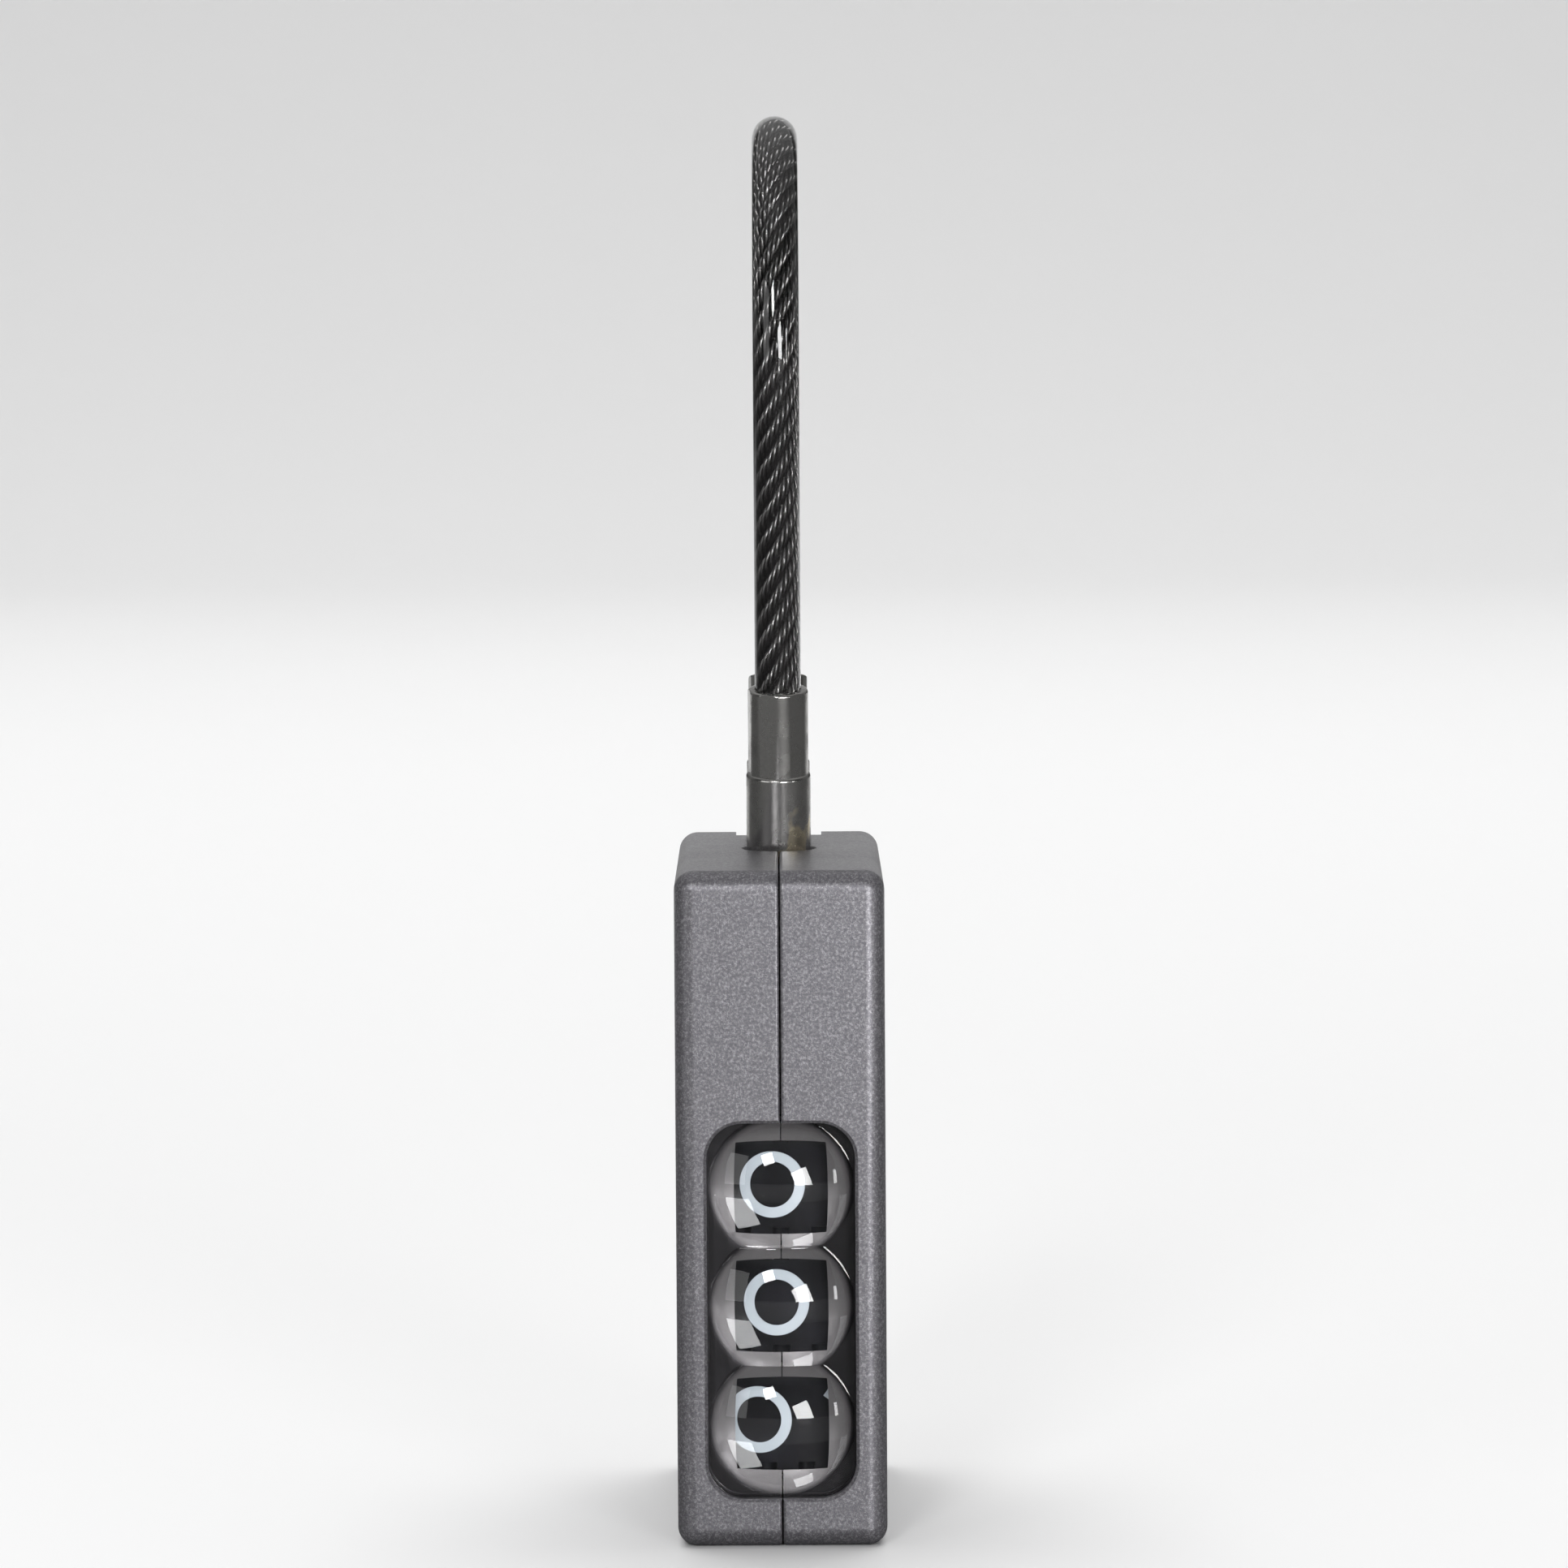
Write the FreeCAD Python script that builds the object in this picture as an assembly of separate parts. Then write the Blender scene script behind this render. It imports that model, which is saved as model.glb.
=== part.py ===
import FreeCAD, Part
import math
import os

from FreeCAD import Placement, Rotation, Vector

os.makedirs("parts", exist_ok=True)

# Millimetres. The origin is the middle of the underside. X runs across the
# narrow faces, -Y is the dial edge, +Y the rear edge and +Z is up.

# Body
body_width = 14.0
body_depth = 34.0
body_height = 45.3
edge_radius = 1.3
seam_gap = 0.08
seam_radius = 0.22
clearance = 0.1

# Dials and what turns with them. The inset is from a wide face to a dial's rim.
dial_inset = 0.2
dial_thickness = 6.2
dial_pitch = 7.95
lowest_dial_z = 8.1
dial_grip_depth = 0.35
dial_grip_band = 0.7
dial_grip_count = 20
lower_dial_turn = -6.5
sleeve_radius = 3.5
sleeve_tooth = 0.4
sleeve_tooth_width = 0.8
sleeve_teeth = 10
chamber_radius = 2.3
gate_width = 1.6
web_thickness = 0.9

# Window strip
lens_depth = 2.1
bowl_depth = 0.5
bowl_radius = 4.5
mask_thickness = 0.7
window_size = 5.75
recess_width = 9.9
recess_height = 25.2
recess_corner = 2.4
recess_rim = 0.2
lens_flange = 0.5
dome_radius = 4.8

# Spindle and latch
spindle_radius = 1.2
spindle_travel = 2.0
fin_height = 0.7
fin_width = 0.9
fin_reach = 2.1
fin_gap = 0.25
head_height = 3.0
head_half = 1.6
latch_ratio = 0.4
latch_half = 1.4
latch_thickness = 1.4
arm_height = 2.0
tip_height = 1.1

# Legs of the loop. Each leans outwards from the vertical.
leg_lean = 10.0
plug_leg_offset = 9.0
leg_spacing = 10.6
cable_radius = 1.575
ferrule_radius = 2.21
ferrule_lower = 5.4
crimp_flats = 3.98
crimp_corner = 2.08
crimp_turn = 9.0
ferrule_upper = 5.85
ferrule_seat = 0.7
crimp_start = 3.3
pin_radius = 1.7
shank_radius = 1.2
plug_pin_length = 10.6
groove_bottom = -9.7
groove_top = -7.6
groove_radius = 0.95
anchor_length = 8.4
anchor_flange = 2.5
anchor_flange_thickness = 1.3

# Key override
core_from_rear = 8.0
core_z = 15.0
core_radius = 3.6
sleeve_wall = 0.95
core_inner_x = 0.6
cam_thickness = 1.3
cam_reach = 3.5
cam_hub = 2.0
wafer_thickness = 0.5
wafer_half = 1.5
wafer_pitch = 1.0

# Scoops for thumb and finger
scoop_depth = 0.9
scoop_width = 12.0
wide_wall = 1.6

# Small parts
rivet_radius = 1.1
rivet_head = 1.65
rivet_head_height = 0.8
detent_thickness = 0.25
detent_half = 2.2
spacer_radius = 3.3
reset_radius = 1.15
reset_flange = 1.8
reset_travel = 0.8
reset_recess = 0.6
wire_radius = 0.15

# The cable's route in the plane X = 0, as (Y, Z) points
cable_route = [
    (1.69, 48.75),
    (-0.65, 62.04),
    (-5.27, 77.44),
    (-4.38, 85.91),
    (-0.70, 91.23),
    (4.50, 93.95),
    (10.70, 93.95),
    (15.90, 91.23),
    (19.58, 85.91),
    (20.47, 77.44),
    (15.85, 62.04),
    (13.51, 48.75),
]

# Places that follow from the sizes above
front = -body_depth / 2
rear = body_depth / 2
side = body_width / 2
dial_radius = side - dial_inset
floor_y = front + lens_depth
mask_back = floor_y + bowl_depth + mask_thickness
dial_y = mask_back + 2 * clearance + dial_radius
plug_leg_y = dial_y + plug_leg_offset
anchor_leg_y = plug_leg_y + leg_spacing
core_y = rear - core_from_rear
wafer_count = int((side - core_inner_x - 1.4) / wafer_pitch)
dial_heights = [lowest_dial_z + n * dial_pitch for n in range(3)]
stack_bottom = dial_heights[0] - dial_thickness / 2
stack_top = dial_heights[2] + dial_thickness / 2
room_bottom = stack_bottom - 0.45
room_top = stack_top + 0.45
room_rear = dial_y + dial_radius + 1.2
room_half = side - wide_wall
recess_z = dial_heights[1] - 0.15
neck_top = room_top + 1.3
head_bottom = neck_top + spindle_travel
latch_travel = spindle_travel * latch_ratio
ramp_foot = dial_y + spindle_radius + latch_travel + 2 * clearance
ramp_top = ramp_foot + latch_ratio * head_height
arm_bottom = head_bottom + 0.4
arm_top = arm_bottom + arm_height
lean = math.radians(leg_lean)
pin_axis_z = body_height + (groove_bottom + groove_top) / 2 * math.cos(lean)
tip_bottom = pin_axis_z - 0.45
tip_top = tip_bottom + tip_height
tip_y = plug_leg_y + (body_height - pin_axis_z) * math.tan(lean) + pin_radius / math.cos(lean) + 0.3
column_y = tip_y + 1.05
column_rear = column_y + latch_thickness
core_sleeve_radius = core_radius + sleeve_wall
wafer_reach = core_radius - 4 * clearance
leg_bottom = core_z + core_sleeve_radius + 0.95
tab_y = core_y + cam_reach + clearance
tab_height = 2.0
tab_thickness = 1.0
latch_spring_length = 2.8
rivet_places = [
    (front + 4.5, body_height - 6.0),
    (room_rear + 3.7, 4.0),
    (rear - 3.4, 5.0),
    (rear - 3.4, core_z + 12.5),
]
dial_names = ["dial_lower", "dial_middle", "dial_upper"]
sleeve_names = ["clutch_sleeve_lower", "clutch_sleeve_middle", "clutch_sleeve_upper"]


def block(x0, x1, y0, y1, z0, z1):
    return Part.makeBox(x1 - x0, y1 - y0, z1 - z0, Vector(x0, y0, z0))


def rod_z(y, z0, z1, radius):
    return Part.makeCylinder(radius, z1 - z0, Vector(0, y, z0))


def rod_x(x0, x1, y, z, radius):
    return Part.makeCylinder(radius, x1 - x0, Vector(x0, y, z), Vector(1, 0, 0))


def rod_y(y0, y1, z, radius):
    return Part.makeCylinder(radius, y1 - y0, Vector(0, y0, z), Vector(0, 1, 0))


def profile_x(points, half_width, shift=0.0):
    """Extrude a polygon of (Y, Z) points along X."""
    corners = [Vector(shift - half_width, y, z) for y, z in points]
    face = Part.Face(Part.makePolygon(corners + corners[:1]))
    return face.extrude(Vector(2 * half_width, 0, 0))


def rounded_wire(centre_u, centre_v, width, height, radius, place):
    """A rounded rectangle whose corners are put in space by place(u, v)."""
    u0, u1 = centre_u - width / 2, centre_u + width / 2
    v0, v1 = centre_v - height / 2, centre_v + height / 2
    bow = radius * (1 - math.sqrt(0.5))
    edges = []
    corners = [(u1, v0, -1, 1), (u1, v1, -1, -1), (u0, v1, 1, -1), (u0, v0, 1, 1)]
    joints = []
    for n, (u, v, in_u, in_v) in enumerate(corners):
        along_u = place(u + in_u * radius, v)
        along_v = place(u, v + in_v * radius)
        middle = place(u + in_u * bow, v + in_v * bow)
        start, end = (along_u, along_v) if n % 2 == 0 else (along_v, along_u)
        joints.append((start, end))
        edges.append(Part.Arc(start, middle, end).toShape())
    for n in range(4):
        here, following = joints[n][1], joints[(n + 1) % 4][0]
        edges.insert(2 * n + 1, Part.LineSegment(here, following).toShape())
    return Part.Wire(Part.__sortEdges__(edges))


def strip_prism(width, height, radius, y0, y1):
    """A rounded rectangle around the window strip's middle, from y0 to y1."""
    wire = rounded_wire(0, recess_z, width, height, radius, lambda u, v: Vector(u, y0, v))
    return Part.Face(wire).extrude(Vector(0, y1 - y0, 0))


def fused(shapes):
    shape = shapes[0].fuse(shapes[1:]) if len(shapes) > 1 else shapes[0]
    return shape.removeSplitter()


def turned_z(shape, y, degrees):
    copy = shape.copy()
    copy.rotate(Vector(0, y, 0), Vector(0, 0, 1), degrees)
    return copy


def on_leg(shape, leg_y, degrees):
    """Put a shape made about the Z axis on a leg, whose zero is on the top face."""
    copy = shape.copy()
    copy.Placement = Placement(Vector(0, leg_y, body_height), Rotation(Vector(1, 0, 0), degrees))
    return copy


def on_plug(shape):
    return on_leg(shape, plug_leg_y, leg_lean)


def on_anchor(shape):
    return on_leg(shape, anchor_leg_y, -leg_lean)


def local_rod(z0, z1, radius):
    return Part.makeCylinder(radius, z1 - z0, Vector(0, 0, z0))


def coil(base, axis, length, radius, turns):
    """A closed-wire compression spring from base along axis."""
    pitch = (length - 2 * wire_radius) / turns
    helix = Part.makeLongHelix(pitch, length - 2 * wire_radius, radius)
    start = Part.Circle(Vector(radius, 0, 0), Vector(0, 1, 0), wire_radius)
    spring = Part.Wire(helix).makePipeShell([Part.Wire(start.toShape())], True, True)
    spring.translate(Vector(0, 0, wire_radius))
    spring.Placement = Placement(base, Rotation(Vector(0, 0, 1), axis)).multiply(spring.Placement)
    return spring


# Housing


def outer_half():
    """The right half as a solid block, rounded outside and along its seam edge."""
    half = block(seam_gap / 2, side, front, rear, 0, body_height)
    rounds = [edge for edge in half.Edges if edge.BoundBox.XMax > seam_gap]
    half = half.makeFillet(edge_radius, rounds)
    rims = [edge for edge in half.Edges if edge.BoundBox.XMax < seam_gap]
    return half.makeFillet(seam_radius, rims)


def window_tools():
    """The strip's recess with its rounded rim, the three bowls and the windows."""
    def ring(grow, y):
        return rounded_wire(0, recess_z, recess_width + 2 * grow, recess_height + 2 * grow,
                            recess_corner + grow, lambda u, v: Vector(u, y, v))

    recess = strip_prism(recess_width, recess_height, recess_corner, front - 1, floor_y)
    rim = Part.makeLoft([ring(2 * recess_rim, front - recess_rim), ring(0, front + recess_rim)], True, True)
    tools = [recess, rim]
    ball = (bowl_radius ** 2 + bowl_depth ** 2) / (2 * bowl_depth)
    skin = strip_prism(recess_width - 0.2, recess_height - 0.2, recess_corner - 0.1,
                       floor_y - 0.05, floor_y + bowl_depth + 0.1)
    for height in dial_heights:
        dish = Part.makeSphere(ball, Vector(0, floor_y + bowl_depth - ball, height))
        tools.append(dish.common(skin))
        half = window_size / 2
        tools.append(block(-half, half, floor_y, mask_back + 0.5, height - half, height + half))
    return tools


def dial_room_tools():
    """The dials' room, their slots in both wide faces and the scoops around these."""
    tools = [block(-room_half, room_half, mask_back, room_rear, room_bottom, room_top)]
    slot_half = math.sqrt(dial_radius ** 2 - room_half ** 2) + 0.3
    for height in dial_heights:
        top = height + dial_thickness / 2 + 0.15
        bottom = height - dial_thickness / 2 - 0.15
        tools.append(block(-side - 1, side + 1, dial_y - slot_half, dial_y + slot_half, bottom, top))
    half = scoop_width / 2
    ball = (half ** 2 + scoop_depth ** 2) / (2 * scoop_depth)
    bottom, top = room_bottom - 0.9, room_top + 0.9
    for sign in (-1, 1):
        barrel = Part.makeCylinder(ball, top - bottom, Vector(sign * (side - scoop_depth + ball), dial_y, bottom))
        wire = rounded_wire(dial_y, (bottom + top) / 2, scoop_width + 0.6, top - bottom, 4.5,
                            lambda u, v: Vector(-side - 1, u, v))
        shape = Part.Face(wire).extrude(Vector(body_width + 2, 0, 0))
        tools.append(barrel.common(shape))
    return tools


def latch_tools():
    """Room for the spindle's head, the latch plate, its spring and the cam."""
    half = latch_half + 0.2
    back = column_rear + 0.2
    reach = latch_travel + 0.2
    return [
        rod_z(dial_y, room_bottom - 0.6, neck_top + 0.1, spindle_radius + clearance),
        block(-head_half - 0.4, head_half + 0.4, dial_y - 1.9, ramp_top + 0.3,
              neck_top, head_bottom + head_height + spindle_travel + 0.5),
        block(-half, half, dial_y, back, arm_bottom - 0.2, arm_top + 0.2),
        block(-half, half, column_y - reach, back, leg_bottom - 0.2, tip_top + 0.3),
        block(-half, half, tip_y - reach, back, tip_bottom - 0.3, tip_top + 0.3),
        block(-cam_thickness + 0.3, core_inner_x - 0.05, column_y - reach,
              tab_y + tab_thickness + 0.3, leg_bottom - 0.2, leg_bottom + tab_height + 0.2),
        block(-cam_thickness + 0.3, core_inner_x - 0.05, tab_y - reach,
              tab_y + tab_thickness + 0.3, core_z - 1.3, leg_bottom + tab_height),
        rod_y(back - 0.1, column_rear + latch_spring_length + 0.1, arm_top + 1.1, 1.2),
        rod_x(-cam_thickness - 0.15, core_inner_x - 0.05, core_y, core_z, cam_reach + 0.5),
        rod_x(core_inner_x - 0.06, side + 1, core_y, core_z, core_sleeve_radius + 0.05),
    ]


def leg_tools():
    """Bores for both legs, with the ferrules' seats and the fixed leg's spot face."""
    seat = local_rod(-ferrule_seat - 0.1, 2, ferrule_radius + clearance)
    lip = Part.makeCone(ferrule_radius, ferrule_radius + 1.2, 1.2, Vector(0, 0, -0.35))
    bore = local_rod(-plug_pin_length - 0.4, 1, pin_radius + clearance)
    short_bore = local_rod(-anchor_length, 1, pin_radius + clearance)
    pocket = local_rod(-anchor_length - clearance, -anchor_length + anchor_flange_thickness + clearance,
                       anchor_flange + clearance)
    spot = block(-3.0, 3.0, anchor_leg_y, rear + 1, body_height - 0.3, body_height + 1)
    spot = spot.fuse(rod_z(anchor_leg_y, body_height - 0.3, body_height + 1, 3.0))
    return [on_plug(seat), on_plug(lip), on_plug(bore), on_anchor(seat), on_anchor(lip),
            on_anchor(short_bore), on_anchor(pocket), spot]


def small_tools():
    """Holes for the rivets and for the reset plunger."""
    tools = []
    for y, z in rivet_places:
        tools.append(rod_x(-side - 1, side + 1, y, z, rivet_radius + 0.05))
        tools.append(rod_x(side - rivet_head_height, side + 1, y, z, rivet_head + 0.05))
        tools.append(rod_x(-side - 1, -side + rivet_head_height, y, z, rivet_head + 0.05))
    tools.append(rod_z(dial_y, -1, 1.3, reset_radius + clearance))
    tools.append(rod_z(dial_y, 1.25, room_bottom - 0.6, reset_flange + 0.15))
    return tools


def housing_halves():
    right = outer_half()
    left = right.mirror(Vector(0, 0, 0), Vector(1, 0, 0))
    tools = window_tools() + dial_room_tools() + latch_tools() + leg_tools() + small_tools()
    halves = []
    for half in (left, right):
        for tool in tools:
            half = half.cut(tool)
        halves.append(max(half.Solids, key=lambda solid: solid.Volume))
    return halves


def rivets():
    shapes = []
    for y, z in rivet_places:
        shaft = rod_x(-side, side, y, z, rivet_radius)
        heads = [rod_x(-side, -side + rivet_head_height - 0.02, y, z, rivet_head),
                 rod_x(side - rivet_head_height + 0.02, side, y, z, rivet_head)]
        shapes.append(fused([shaft] + heads))
    return Part.makeCompound(shapes)


def magnifier():
    width = recess_width - 2 * clearance
    height = recess_height - 2 * clearance
    corner = recess_corner - clearance
    base = floor_y - lens_flange
    flange = strip_prism(width, height, corner, base, floor_y)
    space = strip_prism(width, height, corner, front - 1, base + 0.2)
    rise = base - front
    ball = (dome_radius ** 2 + rise ** 2) / (2 * rise)
    domes = [Part.makeSphere(ball, Vector(0, front + ball, z)).common(space) for z in dial_heights]
    return fused([flange] + domes)


# Dials, sleeves and spindle


def ring_teeth(radius, reach, width, z0, z1, count):
    """Radial bars about the dials' axis, from radius out by reach."""
    bar = block(radius - 0.3, radius + reach, dial_y - width / 2, dial_y + width / 2, z0, z1)
    return [turned_z(bar, dial_y, 360 / count * n) for n in range(count)]


def dial(height, turn):
    z0, z1 = height - dial_thickness / 2, height + dial_thickness / 2
    ring = rod_z(dial_y, z0, z1, dial_radius)
    ring = ring.makeFillet(0.18, [edge for edge in ring.Edges if len(edge.Vertexes) == 1])
    ring = ring.cut(rod_z(dial_y, z0 - 1, z1 + 1, sleeve_radius + 0.06))
    ring = ring.cut(ring_teeth(sleeve_radius, sleeve_tooth + 0.08, sleeve_tooth_width + 0.15,
                               z0 - 1, z1 + 1, sleeve_teeth))
    for low, high in ((z0 - 1, z0 + dial_grip_band), (z1 - dial_grip_band, z1 + 1)):
        notch = rod_z(dial_y + dial_radius + 0.15, low, high, 0.15 + dial_grip_depth)
        ring = ring.cut([turned_z(notch, dial_y, 360 / dial_grip_count * n) for n in range(dial_grip_count)])
    return turned_z(ring, dial_y, turn)


def clutch_sleeve(height, turn):
    """A toothed sleeve with a gated web. The spindle's fin passes only where the gate is."""
    z0, z1 = height - dial_thickness / 2, height + dial_thickness / 2
    sleeve = rod_z(dial_y, z0, z1, sleeve_radius)
    teeth = ring_teeth(sleeve_radius, sleeve_tooth, sleeve_tooth_width, z0, z1, sleeve_teeth)
    sleeve = sleeve.fuse(teeth).removeSplitter()
    half_web = web_thickness / 2
    sleeve = sleeve.cut(rod_z(dial_y, height + half_web, z1 + 1, chamber_radius))
    sleeve = sleeve.cut(rod_z(dial_y, z0 - 1, height - half_web, chamber_radius))
    sleeve = sleeve.cut(rod_z(dial_y, z0, z1, spindle_radius + clearance))
    gate = block(-gate_width / 2, gate_width / 2, dial_y, dial_y + chamber_radius - 0.02, z0, z1)
    return turned_z(sleeve.cut(gate), dial_y, turn)


def spacers():
    heights = [(room_bottom + 0.05, stack_bottom - 0.05), (stack_top + 0.05, room_top - 0.05)]
    for n in range(2):
        heights.append((dial_heights[n] + dial_thickness / 2 + 0.05,
                        dial_heights[n + 1] - dial_thickness / 2 - 0.05))
    rings = []
    for z0, z1 in heights:
        ring = rod_z(dial_y, z0, z1, spacer_radius)
        rings.append(ring.cut(rod_z(dial_y, z0 - 1, z1 + 1, spindle_radius + clearance)))
    return Part.makeCompound(rings)


def ramp(z):
    """Where the head's sloped face stands at a height, with the lock open."""
    return ramp_foot + latch_ratio * (z - head_bottom)


def spindle():
    top = head_bottom + head_height
    stem = rod_z(dial_y, room_bottom - 0.4, head_bottom + 0.5, spindle_radius)
    head = profile_x([(dial_y - 1.5, head_bottom), (ramp(head_bottom), head_bottom),
                      (ramp(top), top), (dial_y - 1.5, top)], head_half)
    pieces = [stem, head]
    for height in dial_heights:
        top_of_fin = height - web_thickness / 2 - fin_gap
        pieces.append(block(-fin_width / 2, fin_width / 2, dial_y, dial_y + fin_reach,
                            top_of_fin - fin_height, top_of_fin))
    return fused(pieces)


def detent_spring():
    face = room_rear - detent_thickness
    plate = block(-detent_half, detent_half, face, room_rear, room_bottom + 0.4, room_top - 0.4)
    bumps = []
    for height in dial_heights:
        z = height - dial_thickness / 2 + dial_grip_band / 2
        tip = dial_y + dial_radius + 0.2
        bumps.append(rod_z(tip + 0.5, z - 0.3, z + 0.3, 0.5))
        bumps.append(block(-0.5, 0.5, tip + 0.5, room_rear, z - 0.3, z + 0.3))
    return fused([plate] + bumps)


def latch_plate():
    """The plate that locks the pin, with a tab behind it that the key's cam pushes."""
    gap = 0.12
    main = profile_x([(ramp(arm_bottom) + gap, arm_bottom), (column_y, arm_bottom),
                      (column_y, leg_bottom), (column_rear, leg_bottom), (column_rear, tip_top),
                      (tip_y, tip_top), (tip_y, tip_bottom), (column_y, tip_bottom),
                      (column_y, arm_top), (ramp(arm_top) + gap, arm_top)], latch_half)
    tab_top = leg_bottom + tab_height
    tab = profile_x([(column_rear - 0.5, tab_top), (tab_y + tab_thickness, tab_top),
                     (tab_y + tab_thickness, core_z - 1.0), (tab_y, core_z - 1.0),
                     (tab_y, leg_bottom), (column_rear - 0.5, leg_bottom)], 0.65, -0.25)
    return fused([main, tab])


# Legs and cable


def ferrule():
    """A sleeve with a plain foot and a hexagonal crimp above it."""
    foot_top = ferrule_lower
    top = ferrule_lower + ferrule_upper
    foot = local_rod(-ferrule_seat, foot_top, ferrule_radius)
    foot = foot.makeFillet(0.3, [edge for edge in foot.Edges if len(edge.Vertexes) == 1])
    crimp = local_rod(foot_top - 0.6, top, crimp_corner)
    crimp = crimp.makeFillet(0.2, [edge for edge in crimp.Edges if edge.BoundBox.ZMin > top - 0.01])
    corner = crimp_flats / math.sqrt(3)
    turns = [math.radians(60 * n + 30 + crimp_turn) for n in range(6)]
    points = [Vector(corner * math.cos(turn), corner * math.sin(turn), foot_top - 0.6) for turn in turns]
    hexagon = Part.Face(Part.makePolygon(points + points[:1])).extrude(Vector(0, 0, ferrule_upper + 0.6))
    body = foot.fuse(crimp.common(hexagon)).removeSplitter()
    body = body.cut(local_rod(crimp_start, top + 1, cable_radius + 0.03))
    return body.cut(local_rod(-ferrule_seat - 1, top, shank_radius + 0.03))


def plug_pin():
    shoulder = -ferrule_seat - 0.05
    pin = local_rod(-plug_pin_length, shoulder, pin_radius)
    pin = pin.makeChamfer(0.4, [edge for edge in pin.Edges if edge.BoundBox.ZMax < -plug_pin_length + 0.01])
    ring = local_rod(groove_bottom, groove_top, pin_radius + 1).cut(
        local_rod(groove_bottom - 1, groove_top + 1, groove_radius))
    return fused([pin.cut(ring), local_rod(shoulder - 0.5, crimp_start - 0.1, shank_radius)])


def anchor_pin():
    shoulder = -ferrule_seat - 0.05
    flange = local_rod(-anchor_length, -anchor_length + anchor_flange_thickness, anchor_flange)
    return fused([flange, local_rod(-anchor_length, shoulder, pin_radius),
                  local_rod(shoulder - 0.5, crimp_start - 0.1, shank_radius)])


def cable():
    """A tube of straight runs joined by tangent arcs, and its length."""
    points = [Vector(0, y, z) for y, z in cable_route]
    edges = []
    here = points[0]
    length = 0.0
    radii = []
    for before, corner, after in zip(points, points[1:], points[2:]):
        to_corner = (corner - before).normalize()
        from_corner = (after - corner).normalize()
        turn = to_corner.getAngle(from_corner)
        setback = 0.45 * min((corner - before).Length, (after - corner).Length)
        radius = setback / math.tan(turn / 2)
        start = corner - to_corner * setback
        end = corner + from_corner * setback
        inward = (from_corner - to_corner).normalize()
        middle = corner + inward * (radius / math.cos(turn / 2) - radius)
        edges.append(Part.LineSegment(here, start).toShape())
        edges.append(Part.Arc(start, middle, end).toShape())
        length += (start - here).Length + radius * turn
        radii.append(round(radius, 1))
        here = end
    edges.append(Part.LineSegment(here, points[-1]).toShape())
    length += (points[-1] - here).Length
    path = Part.Wire(edges)
    section = Part.Circle(points[0], points[1] - points[0], cable_radius).toShape()
    tube = path.makePipeShell([Part.Wire(section)], True, False)
    expected = length * math.pi * cable_radius ** 2
    print("cable length", round(length, 2), "radii", radii)
    print("cable volume", round(tube.Volume, 2), "expected", round(expected, 2))
    return tube


# Key override and reset


def key_core():
    core = rod_x(core_inner_x - 0.15, side - 0.05, core_y, core_z, core_radius)
    tail = rod_x(-cam_thickness - 0.05, core_inner_x, core_y, core_z, shank_radius)
    core = core.fuse(tail).removeSplitter()
    core = core.cut(block(1.2, side + 1, core_y - 0.6, core_y + 0.6, core_z - 2.7, core_z + 1.7))
    for n in range(wafer_count):
        x = core_inner_x + 1.0 + n * wafer_pitch
        core = core.cut(block(x - 0.05, x + wafer_thickness + 0.05, core_y - wafer_half - 0.05, core_y + wafer_half + 0.05,
                              core_z - wafer_reach - 0.05, core_z + wafer_reach + 0.05))
    return core


def key_wafers():
    plates = []
    for n in range(wafer_count):
        x = core_inner_x + 1.0 + n * wafer_pitch
        plate = block(x, x + wafer_thickness, core_y - wafer_half, core_y + wafer_half,
                      core_z - wafer_reach, core_z + wafer_reach)
        cut = block(x - 1, x + 2, core_y - 0.8, core_y + 0.8, core_z - 2.1 + 0.15 * (n % 3), core_z + 1.5)
        plates.append(plate.cut(cut))
    return Part.makeCompound(plates)


def core_sleeve():
    tube = rod_x(core_inner_x, side, core_y, core_z, core_sleeve_radius)
    tube = tube.cut(rod_x(core_inner_x - 1, side + 1, core_y, core_z, core_radius + 0.05))
    rim = [edge for edge in tube.Edges if edge.BoundBox.XMin > side - 0.01]
    return tube.makeChamfer(0.15, rim)


def key_cam():
    x0 = core_inner_x - 0.15 - cam_thickness
    hub = rod_x(x0, x0 + cam_thickness - 0.05, core_y, core_z, cam_hub)
    finger = block(x0, x0 + cam_thickness - 0.05, core_y - 0.7, core_y + 0.7, core_z, core_z + cam_reach + 1)
    finger = finger.common(rod_x(x0, x0 + cam_thickness - 0.05, core_y, core_z, cam_reach))
    cam = fused([hub, finger])
    return cam.cut(rod_x(x0 - 1, core_inner_x + 1, core_y, core_z, shank_radius + 0.03))


def core_clip():
    x1 = core_inner_x - 0.2 - cam_thickness
    ring = rod_x(x1 - 0.3, x1, core_y, core_z, 1.9)
    ring = ring.cut(rod_x(x1 - 1, x1 + 1, core_y, core_z, shank_radius + 0.03))
    return ring.cut(block(x1 - 1, x1 + 1, core_y - 0.5, core_y + 0.5, core_z - 3, core_z))


def reset_plunger():
    stem = rod_z(dial_y, reset_recess, 2.2, reset_radius)
    flange = rod_z(dial_y, 1.35, 1.85, reset_flange)
    return fused([stem, flange])


def save(name, shape):
    if not shape.isValid():
        print("NOT VALID", name)
    shape.exportStep("parts/" + name + ".step")
    print(name, len(shape.Solids), round(shape.Volume, 2))


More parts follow.
